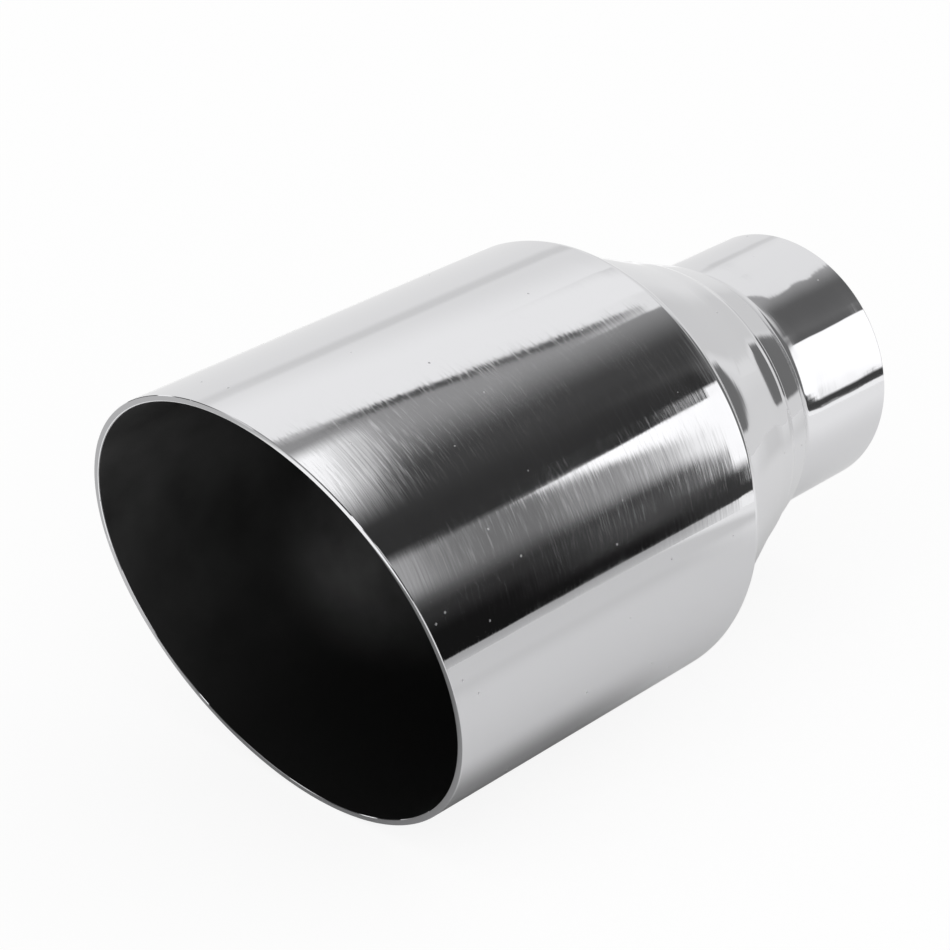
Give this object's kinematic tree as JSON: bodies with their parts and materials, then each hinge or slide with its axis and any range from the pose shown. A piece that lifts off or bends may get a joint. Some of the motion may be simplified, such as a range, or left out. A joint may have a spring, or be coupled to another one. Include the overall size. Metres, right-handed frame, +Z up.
{
  "type": "exhaust tip",
  "caption": "Slant-cut round exhaust tip: polished barrel with a rolled rear edge, a reducing cone and a straight inlet neck that slips over a tailpipe.",
  "frame": {"origin": "centre of the inlet end face, on the tip's axis", "axes": "+Y along the axis from the mouth to the inlet, so the mouth faces -Y; +Z up, with the long side of the slanted mouth on top"},
  "size_m": [0.1016, 0.1777, 0.1016],
  "materials": {
    "polished_stainless": "mirror polished, with fine polishing lines round the axis; the barrel and cone are coated satin black inside"
  },
  "bodies": {
    "root": {"outlet_barrel": "polished_stainless", "reducer_cone": "polished_stainless", "inlet_neck": "polished_stainless"}
  },
  "joints": []
}
